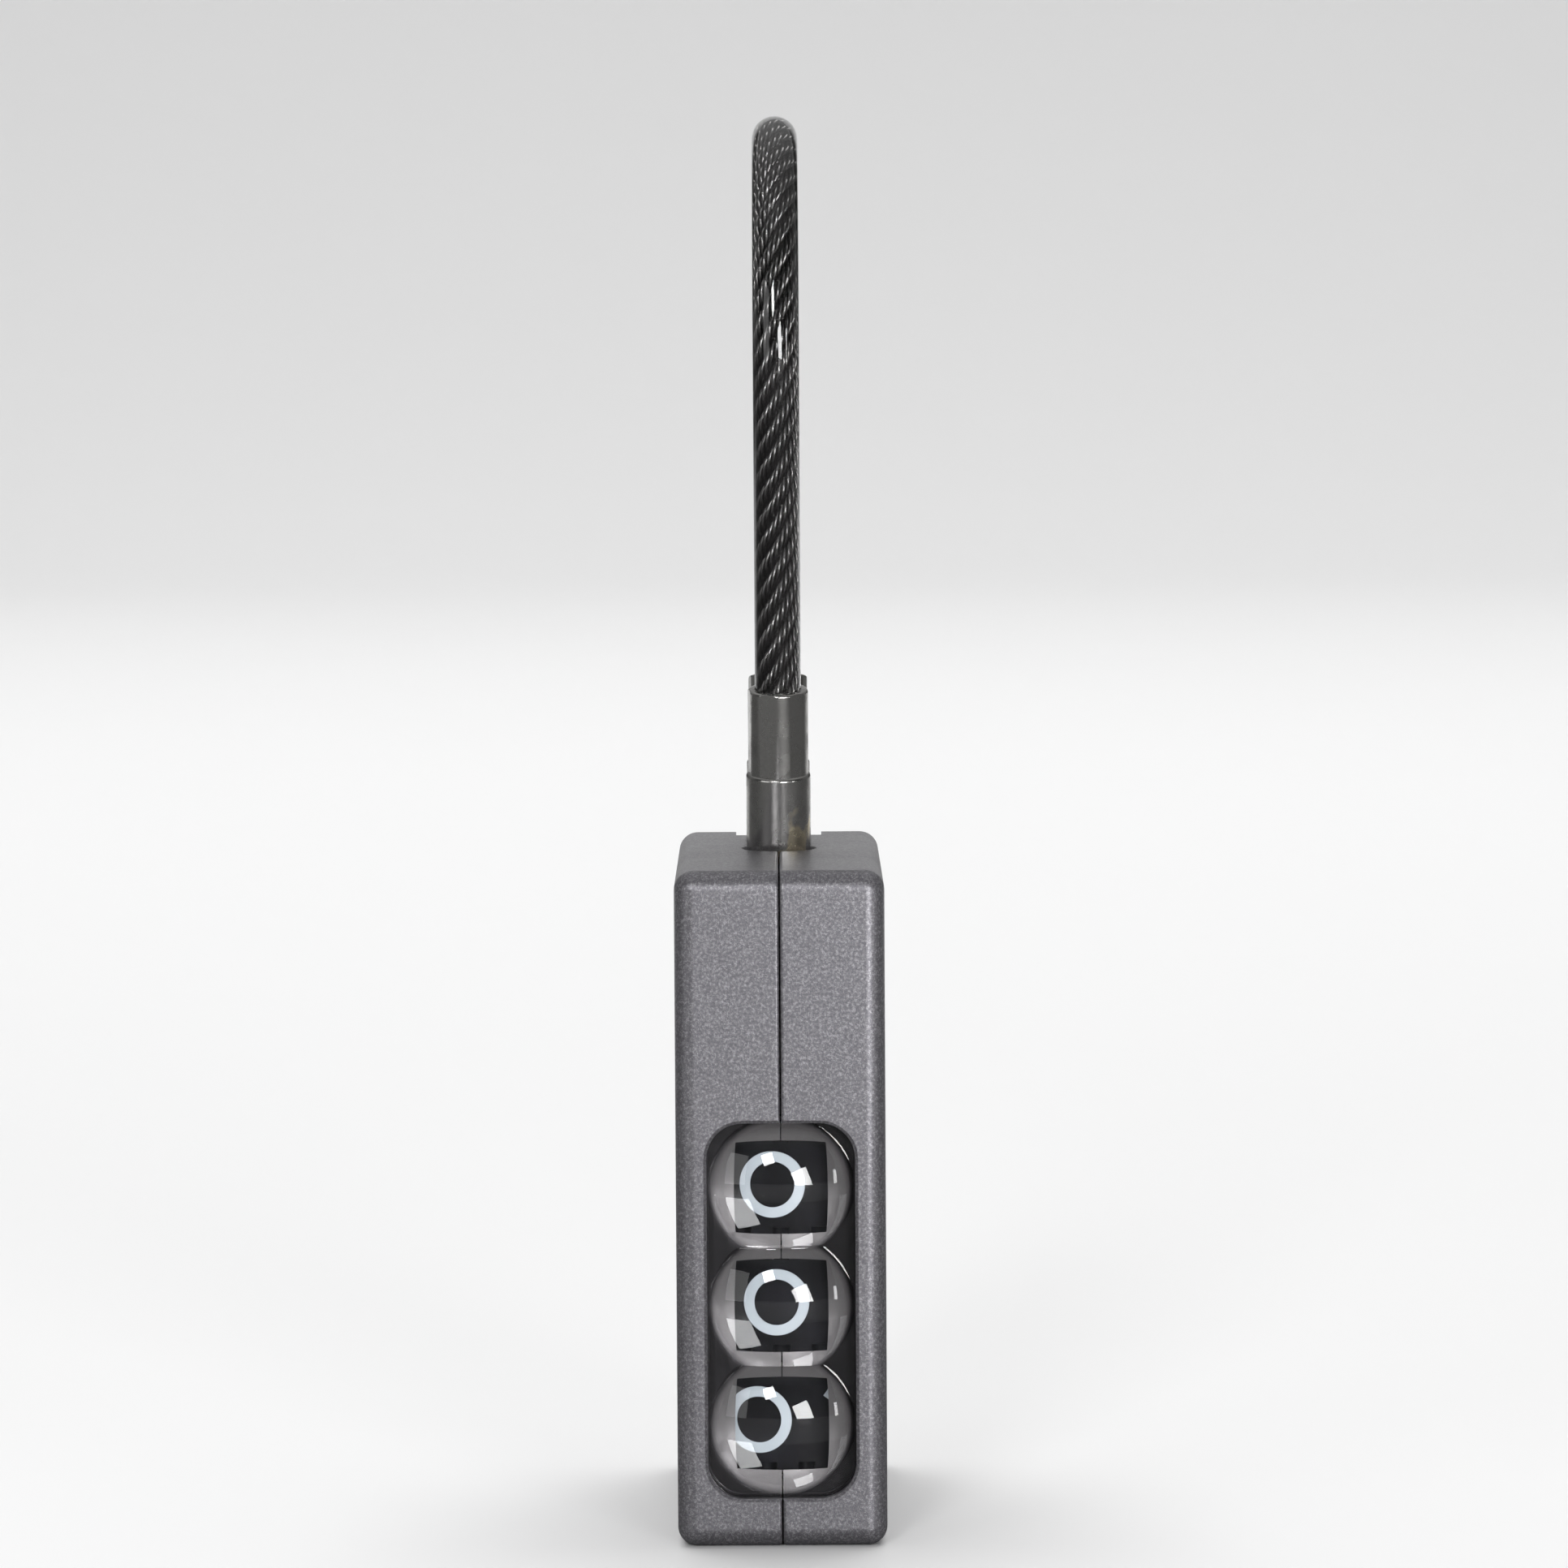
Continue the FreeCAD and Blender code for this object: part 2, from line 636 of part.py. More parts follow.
housing_left, housing_right = housing_halves()
save("housing_left", housing_left)
save("housing_right", housing_right)
save("case_rivets", rivets())
save("magnifier_strip", magnifier())
turns = [lower_dial_turn, 0, 0]
for dial_name, sleeve_name, z_mid, turn in zip(dial_names, sleeve_names, dial_heights, turns):
    save(dial_name, dial(z_mid, turn))
    save(sleeve_name, clutch_sleeve(z_mid, turn))
save("dial_spacers", spacers())
save("spindle", spindle())
save("spindle_spring", coil(Vector(0, dial_y, neck_top + 0.05), Vector(0, 0, 1), spindle_travel - 0.1, 1.6, 3))
save("detent_spring", detent_spring())
save("latch_plate", latch_plate())
save("latch_spring", coil(Vector(0, column_rear + 0.05, arm_top + 1.1), Vector(0, 1, 0),
                          latch_spring_length - 0.1, 0.9, 4))
save("plug_pin", on_plug(plug_pin()))
save("plug_ferrule", on_plug(ferrule()))
save("anchor_pin", on_anchor(anchor_pin()))
save("anchor_ferrule", on_anchor(ferrule()))
save("cable", cable())
save("key_core", key_core())
save("key_wafers", key_wafers())
save("core_sleeve", core_sleeve())
save("key_cam", key_cam())
save("core_clip", core_clip())
save("reset_plunger", reset_plunger())
save("reset_spring", coil(Vector(0, dial_y, 1.9), Vector(0, 0, 1), room_bottom - 0.6 - 1.95, 1.5, 3))
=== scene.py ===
import bpy
import bmesh
import math
from mathutils import Matrix, Vector


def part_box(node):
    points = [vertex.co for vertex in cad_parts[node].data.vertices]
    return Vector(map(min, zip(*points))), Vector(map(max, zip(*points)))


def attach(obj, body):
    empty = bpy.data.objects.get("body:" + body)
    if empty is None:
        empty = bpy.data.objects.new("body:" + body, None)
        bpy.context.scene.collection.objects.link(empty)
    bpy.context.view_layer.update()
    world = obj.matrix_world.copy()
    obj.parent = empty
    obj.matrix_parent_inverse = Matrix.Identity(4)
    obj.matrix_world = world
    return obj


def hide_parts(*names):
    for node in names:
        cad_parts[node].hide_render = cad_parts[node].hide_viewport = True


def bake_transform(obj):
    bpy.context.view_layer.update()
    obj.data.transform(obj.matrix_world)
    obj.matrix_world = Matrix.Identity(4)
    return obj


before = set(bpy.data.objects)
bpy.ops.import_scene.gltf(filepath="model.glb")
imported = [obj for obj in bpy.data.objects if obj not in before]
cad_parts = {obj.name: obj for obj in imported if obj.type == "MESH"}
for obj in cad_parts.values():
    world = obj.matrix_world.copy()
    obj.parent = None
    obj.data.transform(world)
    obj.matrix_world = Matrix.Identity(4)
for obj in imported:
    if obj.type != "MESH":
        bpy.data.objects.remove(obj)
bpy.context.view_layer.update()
mm = 0.001
print("frame loaded")


smoothing = {"weld": 2e-6, "crease": 32}


def keep(obj):
    bpy.context.scene.collection.objects.link(obj)
    return obj


def newPiece(name, mesh, material, body):
    obj = keep(bpy.data.objects.new(name, mesh))
    mesh.materials.clear()
    mesh.materials.append(material)
    if body:
        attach(obj, body)
    return obj


def finishMesh(bm, name):
    mesh = bpy.data.meshes.new(name)
    bm.to_mesh(mesh)
    bm.free()
    return mesh


def smoothCopy(node):
    # a welded copy of a CAD mesh, smooth except along its real edges
    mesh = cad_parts[node].data.copy()
    bm = bmesh.new()
    bm.from_mesh(mesh)
    bmesh.ops.remove_doubles(bm, verts=bm.verts, dist=smoothing["weld"])
    for edge in bm.edges:
        edge.smooth = edge.calc_face_angle(math.pi) < math.radians(smoothing["crease"])
    for face in bm.faces:
        face.smooth = True
    bm.to_mesh(mesh)
    bm.free()
    return mesh


def cadPiece(name, node, material, body):
    mesh = smoothCopy(node)
    mesh.name = name
    obj = newPiece(name, mesh, material, body)
    normals = obj.modifiers.new("evenNormals", "WEIGHTED_NORMAL")
    normals.keep_sharp = True
    normals.mode = "FACE_AREA"
    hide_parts(node)
    return obj


def feed(tree, value, socket):
    # an output is linked to the socket, and a plain value is written into it
    if isinstance(value, bpy.types.NodeSocket):
        tree.links.new(value, socket)
    else:
        socket.default_value = value


def addNode(tree, kind, **inputs):
    node = tree.nodes.new(kind)
    for label, value in inputs.items():
        feed(tree, value, node.inputs[label.replace("_", " ")])
    return node


def combine(tree, operation, first, second=None):
    node = tree.nodes.new("ShaderNodeMath")
    node.operation = operation
    feed(tree, first, node.inputs[0])
    if second is not None:
        feed(tree, second, node.inputs[1])
    return node.outputs[0]


def ranged(tree, value, low, high, toLow=0.0, toHigh=1.0):
    node = addNode(tree, "ShaderNodeMapRange", Value=value, From_Min=low, From_Max=high,
                   To_Min=toLow, To_Max=toHigh)
    return node.outputs["Result"]


def noise(tree, vector, scale, detail, roughness=0.5):
    node = addNode(tree, "ShaderNodeTexNoise", Vector=vector, Scale=scale, Detail=detail,
                   Roughness=roughness)
    return node.outputs["Fac"]


def mixColour(tree, factor, first, second):
    node = tree.nodes.new("ShaderNodeMix")
    node.data_type = "RGBA"
    feed(tree, factor, node.inputs["Factor"])
    for label, colour in (("A", first), ("B", second)):
        feed(tree, (*colour, 1) if isinstance(colour, tuple) else colour, node.inputs[label])
    return node.outputs["Result"]


def colourRamp(tree, factor, stops):
    node = addNode(tree, "ShaderNodeValToRGB", Fac=factor)
    elements = node.color_ramp.elements
    while len(elements) < len(stops):
        elements.new(0.5)
    for element, (place, colour) in zip(elements, stops):
        element.position = place
        element.color = (*colour, 1)
    return node.outputs["Color"]


def splitPoint(tree, point):
    return addNode(tree, "ShaderNodeSeparateXYZ", Vector=point).outputs


def objectPoint(tree, scale=(1, 1, 1)):
    coordinate = tree.nodes.new("ShaderNodeTexCoord")
    node = addNode(tree, "ShaderNodeMapping", Vector=coordinate.outputs["Object"], Scale=scale)
    return node.outputs["Vector"]


def insideBox(tree, point, low, high, soft):
    # 1 inside a box of object coordinates and 0 outside it
    split = splitPoint(tree, point)
    mask = None
    for k in range(3):
        for edge, sign in ((low[k], 1), (high[k], -1)):
            step = ranged(tree, split[k], edge - sign * soft, edge + sign * soft)
            mask = step if mask is None else combine(tree, "MULTIPLY", mask, step)
    return mask


def nearCentres(tree, point, centres, full, none):
    # 1 within full of any of the dial centres, across X and Z, and 0 beyond none
    best = None
    for z in centres:
        flat = tree.nodes.new("ShaderNodeVectorMath")
        flat.operation = "MULTIPLY_ADD"
        for socket, value in zip(flat.inputs, (point, (1, 0, 1), (0, 0, -z))):
            feed(tree, value, socket)
        size = tree.nodes.new("ShaderNodeVectorMath")
        size.operation = "LENGTH"
        feed(tree, flat.outputs[0], size.inputs[0])
        level = ranged(tree, size.outputs["Value"], none, full)
        best = level if best is None else combine(tree, "MAXIMUM", best, level)
    return best


def newGroup(name, inputs, outputs):
    tree = bpy.data.node_groups.new(name, "ShaderNodeTree")
    tree.interface.new_socket("Vector", in_out="INPUT", socket_type="NodeSocketVector")
    for label, value in inputs:
        socket = tree.interface.new_socket(label, in_out="INPUT", socket_type="NodeSocketFloat")
        socket.default_value = value
    for label in outputs:
        tree.interface.new_socket(label, in_out="OUTPUT", socket_type="NodeSocketFloat")
    return tree, tree.nodes.new("NodeGroupInput").outputs, tree.nodes.new("NodeGroupOutput").inputs


def makeGrainGroup():
    # fine two-scale grain, as a mask and a height
    look = {"coarseShare": 0.3, "fineDetail": 1.0, "coarseDetail": 2.0}
    tree, given, result = newGroup("fineGrain", [("Scale", 5000.0), ("Contrast", 1.0)],
                                   ["Mask", "Height"])
    coarseScale = combine(tree, "MULTIPLY", given["Scale"], look["coarseShare"])
    fine = noise(tree, given["Vector"], given["Scale"], look["fineDetail"])
    coarse = noise(tree, given["Vector"], coarseScale, look["coarseDetail"])
    both = combine(tree, "ADD", fine, coarse)
    centred = combine(tree, "SUBTRACT", both, 1.0)
    scaled = combine(tree, "MULTIPLY", centred, given["Contrast"])
    mask = combine(tree, "ADD", scaled, 0.5)
    mask.node.use_clamp = True
    feed(tree, mask, result["Mask"])
    feed(tree, both, result["Height"])
    return tree


def makeSmudgeGroup():
    # broad uneven handling marks, 0 to 1
    look = {"detail": 5.0, "roughness": 0.62, "none": 0.42, "full": 0.7}
    tree, given, result = newGroup("handling", [("Scale", 180.0), ("Amount", 0.5)], ["Mask"])
    marks = noise(tree, given["Vector"], given["Scale"], look["detail"], look["roughness"])
    level = ranged(tree, marks, look["none"], look["full"])
    feed(tree, combine(tree, "MULTIPLY", level, given["Amount"]), result["Mask"])
    return tree


def makeCornerShadeGroup():
    # painted shade in the inner corners, found by pointiness and broken up by noise
    look = {"detail": 3.0, "none": 0.49, "full": 0.4, "broken": (0.35, 0.65)}
    tree, given, result = newGroup("edges", [("Breakup", 900.0)], ["Dirt"])
    geometry = tree.nodes.new("ShaderNodeNewGeometry")
    corners = ranged(tree, geometry.outputs["Pointiness"], look["none"], look["full"])
    patches = noise(tree, given["Vector"], given["Breakup"], look["detail"])
    broken = ranged(tree, patches, *look["broken"])
    feed(tree, combine(tree, "MULTIPLY", corners, broken), result["Dirt"])
    return tree


grainGroup = makeGrainGroup()
smudgeGroup = makeSmudgeGroup()
cornerShadeGroup = makeCornerShadeGroup()


def placeGroup(tree, group, vector, **values):
    node = tree.nodes.new("ShaderNodeGroup")
    node.node_tree = group
    feed(tree, vector, node.inputs["Vector"])
    for label, value in values.items():
        node.inputs[label].default_value = value
    return node.outputs


def newMaterial(name, **values):
    material = bpy.data.materials.new(name)
    material.use_nodes = True
    tree = material.node_tree
    shader = tree.nodes["Principled BSDF"]
    for label, value in values.items():
        shader.inputs[label.replace("_", " ")].default_value = value
    return material, tree, shader


def addBump(tree, shader, height, strength, depth=0.00002):
    bump = addNode(tree, "ShaderNodeBump", Strength=strength, Distance=depth, Height=height)
    feed(tree, bump.outputs["Normal"], shader.inputs["Normal"])


def addTone(tree, shader, mask, first, second):
    feed(tree, mixColour(tree, mask, first, second), shader.inputs["Base Color"])


def addRoughness(tree, shader, mask, rough):
    feed(tree, ranged(tree, mask, 0.0, 1.0, *rough), shader.inputs["Roughness"])


def darker(colour, share):
    return tuple(share * c for c in colour)


# lengths in metres; the recess is the box of the dial window, with a round bowl at each dial, and
# the recess outside the bowls is painted dark as shade
paintLook = {
    "metallic": 0.66, "coat": 0.14, "coatRoughness": 0.24,
    "flake": 18000.0, "flakeContrast": 2.5, "lightAt": 0.7,
    "dark": (0.122, 0.118, 0.132), "light": (0.182, 0.178, 0.192), "bright": (0.30, 0.295, 0.31),
    # paintedCornerShade is the tone of painted shade in the inner corners
    "paintedCornerShade": (0.07, 0.066, 0.072), "cornerShadeShare": 0.6, "cornerShadeBreakup": 1500.0,
    "markScale": 130.0, "markAmount": 0.5, "roughness": (0.38, 0.46),
    # recessCornerShade is painted shade for the recess corners and cusps outside the bowls
    "recessTone": (0.18, 0.172, 0.174), "recessCornerShade": (0.03, 0.028, 0.031), "recessPolish": 0.62,
    "recessLow": (-0.0053, -0.0163, 0.002), "recessHigh": (0.0053, 0.0, 0.0300),
    "recessSoft": 0.0002, "bowlCentres": (0.0081, 0.01605, 0.024), "bowlEdge": (0.0041, 0.0048),
    "bump": 0.2, "bumpDepth": 0.00004,
}


def casePaint():
    look = paintLook
    material, tree, shader = newMaterial(
        "caseSilverPaint", Metallic=look["metallic"], Coat_Weight=look["coat"],
        Coat_Roughness=look["coatRoughness"])
    point = objectPoint(tree)
    grain = placeGroup(tree, grainGroup, point, Scale=look["flake"],
                       Contrast=look["flakeContrast"])
    marks = placeGroup(tree, smudgeGroup, point, Scale=look["markScale"],
                       Amount=look["markAmount"])
    # edges gives painted shade in the inner corners, where the surface folds inwards
    edges = placeGroup(tree, cornerShadeGroup, point, Breakup=look["cornerShadeBreakup"])
    flakes = colourRamp(tree, grain["Mask"], [(0.0, look["dark"]), (look["lightAt"], look["light"]),
                                              (1.0, look["bright"])])
    recess = insideBox(tree, point, look["recessLow"], look["recessHigh"], look["recessSoft"])
    bowls = nearCentres(tree, point, look["bowlCentres"], *look["bowlEdge"])
    # painted shade: the recess corners and cusps outside the bowls are painted near black
    bowlTone = mixColour(tree, bowls, look["recessCornerShade"], look["recessTone"])
    window = mixColour(tree, recess, flakes, bowlTone)
    # the painted corner shade darkens the paint
    paintedCornerShade = combine(tree, "MULTIPLY", edges["Dirt"], look["cornerShadeShare"])
    addTone(tree, shader, paintedCornerShade, window, look["paintedCornerShade"])
    rough = ranged(tree, marks["Mask"], 0.0, 1.0, *look["roughness"])
    polished = ranged(tree, recess, 0.0, 1.0, 1.0, look["recessPolish"])
    feed(tree, combine(tree, "MULTIPLY", rough, polished), shader.inputs["Roughness"])
    addBump(tree, shader, grain["Height"], look["bump"], look["bumpDepth"])
    return material


ferruleLook = {
    "plate": (0.43, 0.424, 0.41), "brass": (0.78, 0.70, 0.52), "dull": 0.62,
    "wearFrom": 0.60, "wearSoft": 0.035, "wearStretch": (330, 330, 190), "wearDetail": 2.5,
    "wearRoughness": 0.55, "wearTop": 0.0502, "wearFade": 0.0006,
    "markScale": 700.0, "markAmount": 0.8, "grainScale": 2600.0, "grainContrast": 1.2,
    "roughness": (0.22, 0.4), "bump": 0.25,
}


def ferruleFinish():
    # nickel plate with patches worn through to the brass under it, low on the ferrule
    look = ferruleLook
    material, tree, shader = newMaterial("nickelOverBrass", Metallic=1.0)
    point = objectPoint(tree)
    patches = noise(tree, objectPoint(tree, look["wearStretch"]), 1.0, look["wearDetail"],
                    look["wearRoughness"])
    worn = ranged(tree, patches, look["wearFrom"], look["wearFrom"] + look["wearSoft"])
    below = ranged(tree, splitPoint(tree, point)["Z"], look["wearTop"],
                   look["wearTop"] - look["wearFade"])
    marks = placeGroup(tree, smudgeGroup, point, Scale=look["markScale"],
                       Amount=look["markAmount"])
    grain = placeGroup(tree, grainGroup, point, Scale=look["grainScale"],
                       Contrast=look["grainContrast"])
    plate = mixColour(tree, marks["Mask"], look["plate"], darker(look["plate"], look["dull"]))
    addTone(tree, shader, combine(tree, "MULTIPLY", worn, below), plate, look["brass"])
    addRoughness(tree, shader, marks["Mask"], look["roughness"])
    addBump(tree, shader, grain["Height"], look["bump"])
    return material


def plainMetal(name, colour, rough=(0.2, 0.38), bump=0.2):
    material, tree, shader = newMaterial(name, Metallic=1.0)
    point = objectPoint(tree)
    marks = placeGroup(tree, smudgeGroup, point, Scale=500.0, Amount=0.9)
    grain = placeGroup(tree, grainGroup, point, Scale=3800.0, Contrast=1.0)
    addTone(tree, shader, marks["Mask"], colour, darker(colour, 0.7))
    addRoughness(tree, shader, grain["Mask"], rough)
    addBump(tree, shader, grain["Height"], bump)
    return material


def plastic(name, dark, light, rough, shine=0.5):
    material, tree, shader = newMaterial(name, Specular_IOR_Level=shine)
    point = objectPoint(tree)
    marks = placeGroup(tree, smudgeGroup, point, Scale=320.0, Amount=1.0)
    grain = placeGroup(tree, grainGroup, point, Scale=3000.0, Contrast=1.0)
    addTone(tree, shader, marks["Mask"], dark, light)
    addRoughness(tree, shader, marks["Mask"], rough)
    addBump(tree, shader, grain["Height"], 0.15)
    return material


def clearPlastic(name, colour, ior, rough, see):
    # see is the tint of the light that passes straight through to what lies behind
    material, tree, shader = newMaterial(name, Transmission_Weight=1.0, IOR=ior, Metallic=0.0)
    marks = placeGroup(tree, smudgeGroup, objectPoint(tree), Scale=260.0, Amount=1.0)
    addTone(tree, shader, marks["Mask"], colour, darker(colour, 0.93))
    addRoughness(tree, shader, marks["Mask"], rough)
    path = tree.nodes.new("ShaderNodeLightPath")
    passing = addNode(tree, "ShaderNodeBsdfTransparent", Color=(*see, 1))
    mix = tree.nodes.new("ShaderNodeMixShader")
    for socket, source in zip(mix.inputs, (path.outputs["Is Shadow Ray"], shader.outputs["BSDF"],
                                           passing.outputs["BSDF"])):
        feed(tree, source, socket)
    feed(tree, mix.outputs["Shader"], tree.nodes["Material Output"].inputs["Surface"])
    return material


paint = casePaint()
ferruleMetal = ferruleFinish()
hardSteel = plainMetal("turnedSteel", (0.52, 0.52, 0.53))
springSteel = plainMetal("springWire", (0.42, 0.42, 0.44))
brass = plainMetal("machinedBrass", (0.72, 0.54, 0.27))
sleeveMetal = plainMetal("nickelSleeve", (0.58, 0.57, 0.55))
ropeMetal = plainMetal("strandedWire", (0.26, 0.255, 0.25), rough=(0.17, 0.26), bump=0.1)
dialPlastic = plastic("dialBlack", (0.002, 0.002, 0.003), (0.009, 0.009, 0.012), (0.45, 0.6),
                      shine=0.06)
numberWhite = plastic("numberWhite", (0.37, 0.41, 0.44), (0.33, 0.37, 0.40), (0.4, 0.5))
nylon = plastic("naturalNylon", (0.72, 0.70, 0.64), (0.62, 0.60, 0.55), (0.45, 0.55))
lensClear = clearPlastic("clearLens", (0.985, 0.99, 0.995), 1.49, (0.0, 0.035),
                         (0.93, 0.93, 0.94))
jacketClear = clearPlastic("smokeJacket", (0.74, 0.74, 0.75), 1.50, (0.04, 0.07),
                           (0.60, 0.60, 0.61))
print("materials made")


view = {"place": (0.0, -0.514, 0.0885), "down": 4.3, "roll": -0.345, "aside": -0.043,
        "lens": 172.8, "sensor": 36, "near": 0.01, "far": 20}


def makeCamera():
    data = bpy.data.cameras.new("camera")
    data.lens = view["lens"]
    data.sensor_width = view["sensor"]
    data.clip_start = view["near"]
    data.clip_end = view["far"]
    camera = keep(bpy.data.objects.new("camera", data))
    turn = Matrix.Rotation(math.radians(view["aside"]), 4, "Z")
    tilt = Matrix.Rotation(math.radians(90 - view["down"]), 4, "X")
    roll = Matrix.Rotation(math.radians(view["roll"]), 4, "Z")
    camera.matrix_world = Matrix.Translation(view["place"]) @ turn @ tilt @ roll
    bpy.context.scene.camera = camera


makeCamera()


# mm; the route's points are (y, z), as in the CAD source
cable = {
    "route": [(1.69, 48.75), (-0.65, 62.04), (-5.27, 77.44), (-4.38, 85.91), (-0.7, 91.23),
              (4.5, 93.95), (10.7, 93.95), (15.9, 91.23), (19.58, 85.91), (20.47, 77.44),
              (15.85, 62.04), (13.51, 48.75)],
    "radius": 1.575, "sides": 40, "coreRadius": 0.62, "coreSides": 12, "strands": 6, "wires": 6,
    "strandRadius": 0.78, "wireRadius": 0.132, "wireSides": 6, "lay": 10.3, "wireLay": 4.4,
    "steps": 300,
}


def routeCurve():
    curve = bpy.data.curves.new("cableRoute", "CURVE")
    curve.dimensions = "3D"
    spline = curve.splines.new("NURBS")
    spline.points.add(len(cable["route"]) - 1)
    for point, (y, z) in zip(spline.points, cable["route"]):
        point.co = (0, y * mm, z * mm, 1)
    spline.order_u = 3
    spline.use_endpoint_u = True
    spline.resolution_u = 24
    return keep(bpy.data.objects.new("cableRoute", curve))


def tubeMesh(name, points, radius, sides):
    # a solid round rod along points in the plane X = 0
    bm = bmesh.new()
    aside = Vector((1, 0, 0))
    turns = [2 * math.pi * k / sides for k in range(sides)]
    rings = []
    for n, point in enumerate(points):
        before, after = points[max(n - 1, 0)], points[min(n + 1, len(points) - 1)]
        across = (after - before).normalized().cross(aside)
        rings.append([bm.verts.new(point + radius * (math.cos(a) * aside + math.sin(a) * across))
                      for a in turns])
    for here, there in zip(rings, rings[1:]):
        for k in range(sides):
            m = (k + 1) % sides
            bm.faces.new((here[k], here[m], there[m], there[k])).smooth = True
    bm.faces.new(rings[0])
    bm.faces.new(rings[-1])
    bmesh.ops.recalc_face_normals(bm, faces=bm.faces)
    return finishMesh(bm, name)


def ropeTree():
    # wires that twist in strands, and strands that twist about the route, in the plane X = 0
    tree = bpy.data.node_groups.new("wireRope", "GeometryNodeTree")
    face = tree.interface
    face.new_socket("Geometry", in_out="INPUT", socket_type="NodeSocketGeometry")
    for label in ("Strands", "Wires", "Steps", "Wire Sides"):
        face.new_socket(label, in_out="INPUT", socket_type="NodeSocketInt")
    for label in ("Strand Radius", "Wire Radius", "Lay", "Wire Lay"):
        face.new_socket(label, in_out="INPUT", socket_type="NodeSocketFloat")
    face.new_socket("Material", in_out="INPUT", socket_type="NodeSocketMaterial")
    face.new_socket("Geometry", in_out="OUTPUT", socket_type="NodeSocketGeometry")
    given = tree.nodes.new("NodeGroupInput").outputs
    result = tree.nodes.new("NodeGroupOutput").inputs

    def divide(first, second):
        return combine(tree, "DIVIDE", first, second)

    def vectorOf(operation, first, second=None, scale=None):
        node = tree.nodes.new("ShaderNodeVectorMath")
        node.operation = operation
        feed(tree, first, node.inputs[0])
        if second is not None:
            feed(tree, second, node.inputs[1])
        if scale is not None:
            feed(tree, scale, node.inputs["Scale"])
        return node.outputs[0]

    resample = addNode(tree, "GeometryNodeResampleCurve", Curve=given["Geometry"],
                       Count=given["Steps"])
    copies = tree.nodes.new("GeometryNodeDuplicateElements")
    copies.domain = "SPLINE"
    feed(tree, resample.outputs["Curve"], copies.inputs["Geometry"])
    feed(tree, combine(tree, "MULTIPLY", given["Strands"], given["Wires"]),
         copies.inputs["Amount"])
    index = copies.outputs["Duplicate Index"]
    strand = combine(tree, "FLOOR", divide(index, given["Wires"]))
    wire = combine(tree, "MODULO", index, given["Wires"])
    along = tree.nodes.new("GeometryNodeSplineParameter").outputs["Length"]
    tangent = tree.nodes.new("GeometryNodeInputTangent").outputs[0]
    aside = addNode(tree, "ShaderNodeCombineXYZ", X=1.0).outputs[0]
    across = vectorOf("CROSS_PRODUCT", tangent, aside)
    strandTurns = combine(tree, "ADD", divide(along, given["Lay"]),
                          divide(strand, given["Strands"]))
    wireTurns = combine(tree, "SUBTRACT", divide(wire, given["Wires"]),
                        divide(along, given["Wire Lay"]))

    def offset(turns, radius):
        angle = combine(tree, "MULTIPLY", turns, 2 * math.pi)
        shares = [combine(tree, "MULTIPLY", combine(tree, wave, angle), radius)
                  for wave in ("COSINE", "SINE")]
        return vectorOf("ADD", vectorOf("SCALE", aside, scale=shares[0]),
                        vectorOf("SCALE", across, scale=shares[1]))

    wireOffset = combine(tree, "MULTIPLY", given["Wire Radius"], 2.0)
    moved = vectorOf("ADD", offset(strandTurns, given["Strand Radius"]),
                     offset(wireTurns, wireOffset))
    placed = addNode(tree, "GeometryNodeSetPosition", Geometry=copies.outputs["Geometry"],
                     Offset=moved)
    section = addNode(tree, "GeometryNodeCurvePrimitiveCircle", Resolution=given["Wire Sides"],
                      Radius=given["Wire Radius"])
    tube = addNode(tree, "GeometryNodeCurveToMesh", Curve=placed.outputs["Geometry"],
                   Profile_Curve=section.outputs["Curve"], Fill_Caps=True)
    smooth = addNode(tree, "GeometryNodeSetShadeSmooth", Geometry=tube.outputs["Mesh"])
    real = addNode(tree, "GeometryNodeRealizeInstances", Geometry=smooth.outputs["Geometry"])
    painted = addNode(tree, "GeometryNodeSetMaterial", Geometry=real.outputs["Geometry"],
                      Material=given["Material"])
    feed(tree, painted.outputs["Geometry"], result["Geometry"])
    return tree


def runTree(obj, tree, values):
    # the tree's result on an object, as a plain mesh
    modifier = obj.modifiers.new("build", "NODES")
    modifier.node_group = tree
    for item in tree.interface.items_tree:
        if item.in_out == "INPUT" and item.name in values:
            modifier[item.identifier] = values[item.name]
    graph = bpy.context.evaluated_depsgraph_get()
    mesh = bpy.data.meshes.new_from_object(obj.evaluated_get(graph))
    obj.modifiers.remove(modifier)
    return mesh


def makeCable():
    route = routeCurve()
    graph = bpy.context.evaluated_depsgraph_get()
    line = bpy.data.meshes.new_from_object(route.evaluated_get(graph))
    points = [v.co.copy() for v in line.vertices]
    ropeMesh = runTree(route, ropeTree(), {
        "Strands": cable["strands"], "Wires": cable["wires"], "Steps": cable["steps"],
        "Wire Sides": cable["wireSides"], "Strand Radius": cable["strandRadius"] * mm,
        "Wire Radius": cable["wireRadius"] * mm, "Lay": cable["lay"] * mm,
        "Wire Lay": cable["wireLay"] * mm, "Material": ropeMetal})
    bpy.data.objects.remove(route)
    jacketMesh = tubeMesh("cableJacket", points, cable["radius"] * mm, cable["sides"])
    coreMesh = tubeMesh("ropeCore", points[::3] + points[-1:], cable["coreRadius"] * mm,
                        cable["coreSides"])
    jacket = newPiece("cableJacket", jacketMesh, jacketClear, None)
    rope = newPiece("wireRope", ropeMesh, ropeMetal, None)
    core = newPiece("ropeCore", coreMesh, ropeMetal, None)
    for piece in (jacket, rope, core):
        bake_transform(piece)
    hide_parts("cable")


makeCable()


cadPiece("housingLeft", "housing_left", paint, "case")
cadPiece("housingRight", "housing_right", paint, "case")
cadPiece("caseRivets", "case_rivets", paint, "case")
print("housing made")


# mm; the crease is in degrees
strip = {"corner": 2.3, "rows": 150, "columns": 60, "flange": 0.5, "domeRadius": 4.8,
         "endGap": 0.01, "crease": 50}


